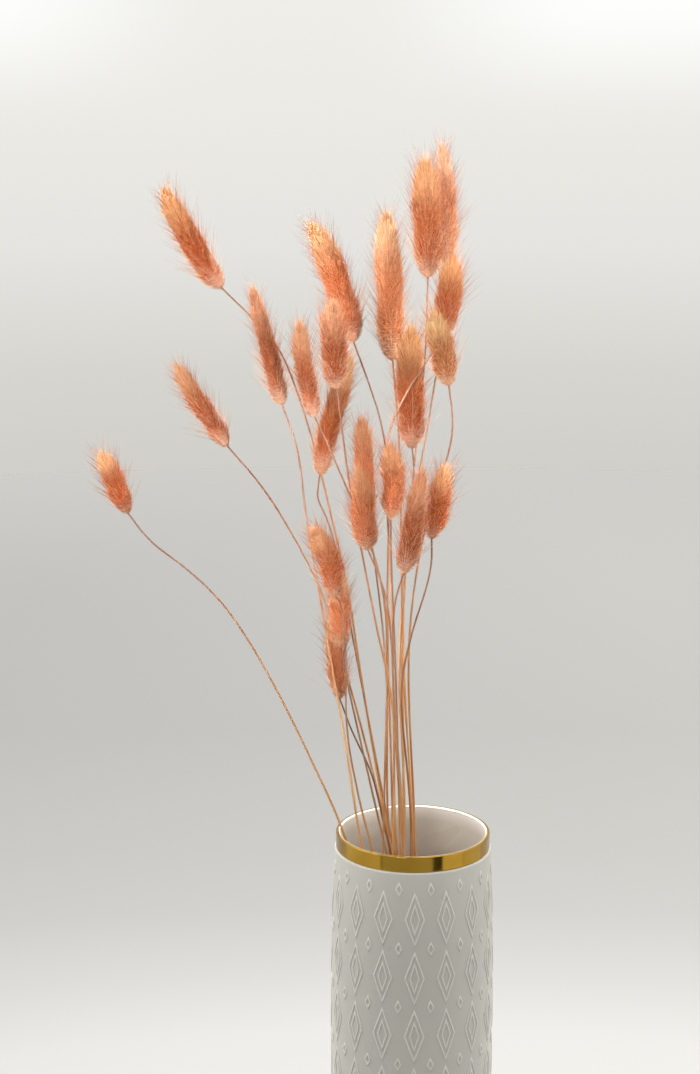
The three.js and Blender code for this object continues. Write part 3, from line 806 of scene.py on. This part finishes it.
def hair_mesh(roots, ways, bends, radii, rings, taper):
    """Tapering three-sided hairs. Each runs from its root along its way, and bends off towards its tip.

    Returns their points and faces, the share of its hair that each point lies at, and the count of
    points in a hair.
    """
    across = unit(np.cross(ways, HAIR_SKEW))
    beside = unit(np.cross(ways, across))
    layers = []
    for share in np.arange(rings) / rings:
        centre = roots + ways * share + bends * share**2
        width = (radii * (1 - share) ** taper)[:, None]
        for corner in range(3):
            angle = 2 * np.pi * corner / 3
            layers.append(centre + width * (math.cos(angle) * across + math.sin(angle) * beside))
    layers.append(roots + ways + bends)
    points = np.stack(layers, axis=1)
    pattern = []
    for ring in range(rings - 1):
        for corner in range(3):
            a, b = 3 * ring + corner, 3 * ring + (corner + 1) % 3
            pattern += [[a, b, b + 3], [a, b + 3, a + 3]]
    last = 3 * (rings - 1)
    pattern += [[last + corner, last + (corner + 1) % 3, last + 3] for corner in range(3)]
    each = 3 * rings + 1
    faces = np.array(pattern)[None] + each * np.arange(len(roots))[:, None, None]
    shares = np.append(np.repeat(np.arange(rings) / rings, 3), 1)
    return points.reshape(-1, 3), faces.reshape(-1, 3), np.tile(shares, len(roots)), each


def on_map(head_share, hair_shares, each, low, high):
    """Places on the map: across it by the share of the head, and up it by the share of the hair."""
    sides = np.tile(np.resize([-HAIR_ON_MAP, HAIR_ON_MAP, 0], each), len(head_share))
    u = np.repeat(head_share, each) + sides
    return np.column_stack([np.clip(u, 0, 1), low + (high - low) * hair_shares])


def leaning(head, share, turn, lean):
    """Directions that lean away from the axis by so many radians."""
    _, direction = head.axis(share)
    return np.cos(lean)[:, None] * direction + np.sin(lean)[:, None] * head.radial(share, turn)


def place_locks(head, random):
    """The locks of a coat: their shares of the head, turns, reaches and leans, and where they end."""
    count = int(COAT_AREA * head.girth * head.length / LOCK_SPACING**2)
    share, turn = head.spread_out(count)
    along, around = (shift * LOCK_SPACING for shift in LOCK_SHIFTS)
    share = np.clip(share + random.normal(0, along / head.length, count), 0, 1)
    turn = turn + random.normal(0, around / head.girth, count)
    low, high = (np.interp(share, REACH_PLACES, ends) for ends in (LOW_REACH, HIGH_REACH))
    reach = low + (high - low) * random.beta(*REACH_CURVE, count)
    lean = np.interp(share, LEAN_PLACES, LEANS) + random.normal(0, LEAN_SPREAD, count)
    spikes = SPIKES * random.normal(0, 1, count) * np.clip((share - SPIKES_START) / SPIKES_RISE, 0, 1)
    middles = head.on_coat(share, turn, reach) + spikes[:, None] * head.axis(share)[1]
    return share, turn, reach, lean, middles


def coat(head, count, random, curved):
    """The hairs of a head's coat, gathered in locks: roots, ways, bends and places along the head."""
    lock_share, lock_turn, lock_reach, lock_lean, middles = place_locks(head, random)
    locks = len(middles)
    lock = random.integers(0, locks, count)
    share = np.clip(lock_share[lock] + random.normal(0, LOCK_SPREAD / head.length, count), 0, 1)
    turn = lock_turn[lock] + random.normal(0, LOCK_SPREAD / head.girth, count)
    loose = head.on_coat(share, turn, lock_reach[lock] * random.uniform(*REACH_SPREAD, count))
    drawn = (CLUMPING * random.uniform(*CLUMPING_SPREAD, count))[:, None]
    tip = loose + drawn * (middles[lock] - loose) + random.normal(0, STRAY, (count, 3))
    lean = lock_lean[lock]
    to_axis = head.width(share) / np.clip(np.sin(lean), LEAST_SINE, 1)
    length = np.minimum(head.scale * random.uniform(*HAIR_LENGTH, count), DEPTH_SHARE * to_axis + 0.5 * MM)
    direction = head.axis(share)[1]
    sideways = np.cross(direction, head.radial(share, turn))
    sway = SWAY * random.normal(0, 1, locks)[lock]
    root = loose - length[:, None] * unit(leaning(head, share, turn, lean) + sway[:, None] * sideways)
    jump = tip - root
    place = lock_share[lock] + LOCK_SHADES * random.uniform(-1, 1, locks)[lock]
    place = place + random.normal(0, HAIR_SHADES, count)
    if not curved:
        return root, jump, np.zeros_like(root), place
    upward = (jump * direction).sum(axis=1, keepdims=True) * direction
    way = 2 * (OUTWARD * (jump - upward) + (1 - OUTWARD) * upward)
    return root, way, jump - way, place


def brush(head, count, random):
    """The tufts that make the soft point of a head. The furthest end nearest its axis."""
    asides = BRUSH_WIDTH * random.uniform(0, 1, BRUSH_TUFTS) ** BRUSH_CROWDING
    depths = BRUSH_SLOPE * asides + np.abs(random.normal(0, BRUSH_DEPTH, BRUSH_TUFTS))
    turns = (np.arange(BRUSH_TUFTS) + random.uniform(0, BRUSH_SHIFT, BRUSH_TUFTS)) / BRUSH_TUFTS
    tuft = random.integers(0, BRUSH_TUFTS, count)
    depth, turn = depths[tuft], turns[tuft] + random.normal(0, TUFT_TURN, count)
    length = random.uniform(*BRUSH_LENGTH, count)
    start = np.clip(1 - (depth + length) / head.length, 0, 1)
    root = head.on_core(start, turn)
    direction = head.axis(np.ones(count))[1]
    aside = (head.scale * asides[tuft])[:, None] * head.radial(start, turns[tuft])
    tip = head.tip + (BRUSH_RISE - depth)[:, None] * direction + aside
    tip = tip + random.normal(0, TUFT_SPREAD, (count, 3))
    first, own, spread = BRUSH_SHADES
    place = first + own * turns[tuft] + random.normal(0, spread, count)
    return root, tip - root, np.zeros_like(root), place


def awns(head, count, random):
    """Long fine awns that stand out of the coat."""
    share, turn = head.spread_out(count)
    start, end = AWN_ENDS
    share = np.clip(start + (end - start) * share + random.normal(0, AWN_SHIFTS[0], count), 0, 1)
    turn = turn + random.normal(0, AWN_SHIFTS[1], count)
    root = head.on_coat(share, turn, np.full(count, AWN_REACH))
    base, top = AWN_LEAN
    lean = base + (top - base) * share**0.5 + random.normal(0, AWN_LEAN_SPREAD, count)
    low, high = AWN_LENGTH
    length = head.scale**0.5 * (low + (high - low) * random.beta(*AWN_LENGTH_CURVE, (count, 1)))
    length = length * (1 - AWN_SHORTENING * share**3)[:, None]
    way = length * leaning(head, share, turn, lean)
    bend = length * (random.normal(0, AWN_BEND, (count, 3)) + AWN_BEND * head.axis(share)[1])
    return root, way, bend, AWN_SHADE * share


def core_mesh(head):
    """The core that the hairs stand on, closed at both ends."""
    share = np.linspace(*CORE_ENDS, CORE_RINGS)
    rings = [head.on_core(share, np.full(CORE_RINGS, side / CORE_SIDES)) for side in range(CORE_SIDES)]
    points = np.stack(rings, axis=1).reshape(-1, 3)
    quads = grid_faces(CORE_RINGS, CORE_SIDES)
    faces = np.vstack([quads[:, [0, 1, 2]], quads[:, [0, 2, 3]]])
    uv = np.column_stack([np.repeat(share, CORE_SIDES), np.tile(CORE_SHADES, len(points) // 2)])
    middles, _ = head.axis(share[[0, -1]])
    low = [[(side + 1) % CORE_SIDES, side, len(points)] for side in range(CORE_SIDES)]
    last = len(points) - CORE_SIDES
    high = [[last + side, last + (side + 1) % CORE_SIDES, len(points) + 1] for side in range(CORE_SIDES)]
    uv = np.vstack([uv, [[0, 0.01], [1, 0.01]]])
    return np.vstack([points, middles]), np.vstack([faces, low, high]), uv


def build_head(number, neck, material, random):
    """A head in one piece: its core, its coat, its brush and its awns."""
    node = f"head_{number:02d}"
    slimming = MORE_SLIMMING if number in SLENDER else LESS_SLIMMING if number in BLUNT else SLIMMING
    head = Head(node, neck, slimming, FULLNESS.get(number, 1), random.uniform(0, 2 * np.pi, 2))
    area = head.girth * head.length * COAT_AREA
    count = int(area * HAIR_DENSITY)
    straight = coat(head, int(count * (1 - CURVED_SHARE - BRUSH_SHARE)), random, curved=False)
    curved = coat(head, int(count * CURVED_SHARE), random, curved=True)
    tufts = brush(head, int(count * BRUSH_SHARE), random)
    long_awns = awns(head, int(area * AWN_DENSITY), random)
    kinds = [  # and their radius, rings, taper, and the map's heights for root and tip
        (straight, HAIR_RADIUS, 1, 1, 0, FUR_TIP),
        (curved, HAIR_RADIUS, CURVED_RINGS, 0.6, 0, FUR_TIP),
        (tufts, HAIR_RADIUS, 1, 1, BRUSH_ROOT, FUR_TIP),
        (long_awns, AWN_RADIUS, AWN_RINGS, 0.4, AWN_ROOT, 1),
    ]
    core_points, core_faces, core_uv = core_mesh(head)
    points, faces, places = [core_points], [core_faces], [core_uv]
    for (roots, ways, bends, share), radius, rings, taper, low, high in kinds:
        radii = radius * random.uniform(*THICKNESSES, len(roots))
        strands, triangles, hair_shares, each = hair_mesh(roots, ways, bends, radii, rings, taper)
        faces.append(triangles + sum(len(p) for p in points))
        points.append(strands)
        places.append(on_map(share, hair_shares, each, low, high))
    add_piece(f"fur_{number:02d}", np.vstack(points), np.vstack(faces), material, node, "coral_head",
              np.vstack(places))


# ================= Stage, lights and camera =================

def build_floor():
    """A wide round floor, with painted light: brighter round the vase and darker further out, and painted
    shade on its left.
    """
    material, nodes, shader = new_material("pale_floor")
    place = nodes.add("ShaderNodeTexCoord").outputs["Object"]
    narrowed = nodes.add("ShaderNodeVectorMath", {"operation": "MULTIPLY"}, i0=place, i1=FLOOR_STRETCH)
    length = nodes.add("ShaderNodeVectorMath", {"operation": "LENGTH"}, i0=narrowed.outputs[0])
    distance = length.outputs["Value"]
    # painted light: brighter round the vase, darker further out
    pale = nodes.ramp(nodes.math("DIVIDE", distance, FLOOR_RADIUS), FLOOR_PAINTED_LIGHT)
    aside = nodes.add("ShaderNodeSeparateXYZ", Vector=place).outputs[0]
    # painted shade: darker on the left
    side_shade = nodes.ramp(nodes.range(aside, *FLOOR_SIDE_SHADE_SPAN, smooth=False), FLOOR_PAINTED_SIDE_SHADE)
    near = nodes.range(distance, FLOOR_SIDE_SHADE_END, FLOOR_RADIUS, 1.0, 0.0)
    link(nodes, nodes.mix(near, pale, side_shade, "MULTIPLY"), shader, "Base Color")
    shader.inputs["Roughness"].default_value = 1
    shader.inputs["Specular IOR Level"].default_value = 0
    mesh = bpy.data.meshes.new("floor")
    disc_mesh = bmesh.new()
    bmesh.ops.create_circle(disc_mesh, cap_ends=True, segments=FLOOR_SEGMENTS, radius=FLOOR_RADIUS)
    disc_mesh.to_mesh(mesh)
    disc_mesh.free()
    mesh.materials.append(material)
    floor = bpy.data.objects.new("floor", mesh)
    bpy.context.scene.collection.objects.link(floor)


def build_world():
    """A pale backdrop, and soft light that comes mostly from above, behind and the sides."""
    world = bpy.data.worlds.new("studio")
    bpy.context.scene.world = world
    world.use_nodes = True
    nodes = Nodes(world.node_tree)
    way = nodes.add("ShaderNodeTexCoord").outputs["Generated"]
    across, deep, up = nodes.add("ShaderNodeSeparateXYZ", Vector=way).outputs[:3]
    backdrop = nodes.ramp(nodes.range(up, *BACKDROP_SPAN, smooth=False), BACKDROP)
    off_middle = nodes.math("ABSOLUTE", nodes.math("ADD", across, GLOW_MIDDLE))
    glow = nodes.math("MULTIPLY", nodes.range(off_middle, *GLOW_ASIDE), nodes.range(up, *GLOW_HEIGHTS))
    backdrop = nodes.mix(glow, backdrop, GLOW)
    level = nodes.ramp(nodes.range(deep, -1, 1, smooth=False), LIGHT_ROUND)
    lifted = nodes.math("ADD", up, nodes.math("MULTIPLY", deep, OVERHEAD_TILT))
    light = nodes.mix(nodes.range(lifted, *OVERHEAD_HEIGHTS), level, OVERHEAD_LIGHT)
    mirrored = nodes.ramp(nodes.range(deep, -1, 1, smooth=False), MIRRORED)
    mirrored = nodes.mix(nodes.range(up, *MIRRORED_HEIGHTS), mirrored, MIRRORED_TOP)
    ray = nodes.add("ShaderNodeLightPath").outputs
    light = nodes.mix(ray["Is Glossy Ray"], light, mirrored)
    background = world.node_tree.nodes["Background"]
    nodes.tree.links.new(nodes.mix(ray["Is Camera Ray"], light, backdrop), background.inputs["Color"])


def add_lamp(name, place, target, size, power, spread):
    """A round lamp that shines at its target and isn't seen itself."""
    light = bpy.data.lights.new(name, "AREA")
    light.shape = "DISK"
    light.size = size
    light.energy = power
    light.spread = math.radians(spread)
    light.color = WARM_WHITE
    lamp = bpy.data.objects.new(name, light)
    lamp.location = place
    lamp.rotation_mode = "QUATERNION"
    lamp.rotation_quaternion = (Vector(target) - Vector(place)).to_track_quat("-Z", "Y")
    lamp.visible_camera = False
    bpy.context.scene.collection.objects.link(lamp)


def add_card(name, start, end, level):
    """An upright card that only mirroring surfaces see. Its ends are turns from the front, in degrees."""
    turns = np.radians(np.linspace(start, end, CARD_STEPS))
    ground = np.stack([CARD_DISTANCE * np.sin(turns), -CARD_DISTANCE * np.cos(turns), 0 * turns], axis=1)
    points = np.vstack([ground + [0, 0, CARD_FOOT], ground + [0, 0, CARD_HEIGHT]])
    mesh = bpy.data.meshes.new(name)
    mesh.from_pydata(points, [], grid_faces(2, CARD_STEPS, closed=False))
    material, _, shader = new_material(name)
    shader.inputs["Base Color"].default_value = (0, 0, 0, 1)
    shader.inputs["Roughness"].default_value = 1
    shader.inputs["Emission Color"].default_value = CARD_COLOUR
    shader.inputs["Emission Strength"].default_value = level
    mesh.materials.append(material)
    card = bpy.data.objects.new(name, mesh)
    for kind in ("camera", "diffuse", "transmission", "volume_scatter", "shadow"):
        setattr(card, f"visible_{kind}", False)
    bpy.context.scene.collection.objects.link(card)


def build_camera():
    """The photo's camera."""
    camera = bpy.data.cameras.new("camera")
    camera.sensor_width = SENSOR
    camera.lens = FOCAL_PIXELS / PHOTO_HEIGHT * SENSOR
    holder = bpy.data.objects.new("camera", camera)
    holder.location = CAMERA_PLACE
    holder.rotation_euler = (math.pi / 2 - CAMERA_PITCH, 0, 0)
    bpy.context.scene.collection.objects.link(holder)
    bpy.context.scene.camera = holder


# ================= Scene =================

build_camera()
build_world()
build_floor()
for card in CARDS:
    add_card(*card)
for lamp in LAMPS:
    add_lamp(*lamp)
bpy.context.scene.view_settings.view_transform = "Standard"

build_vase()
stem_material = dried_stem()
furs = {dye: fur(f"fur_{dye}", dye) for dye in DYES_AND_LIGHT}
for number in range(1, PLANTS + 1):
    random = np.random.default_rng(number)
    rings = stem_rings(f"stem_{number:02d}")
    build_stem(number, rings, stem_material, random)
    build_head(number, rings[-1, :3], furs[DYE_AND_LIGHT_OF.get(number, USUAL_DYE_AND_LIGHT)], random)
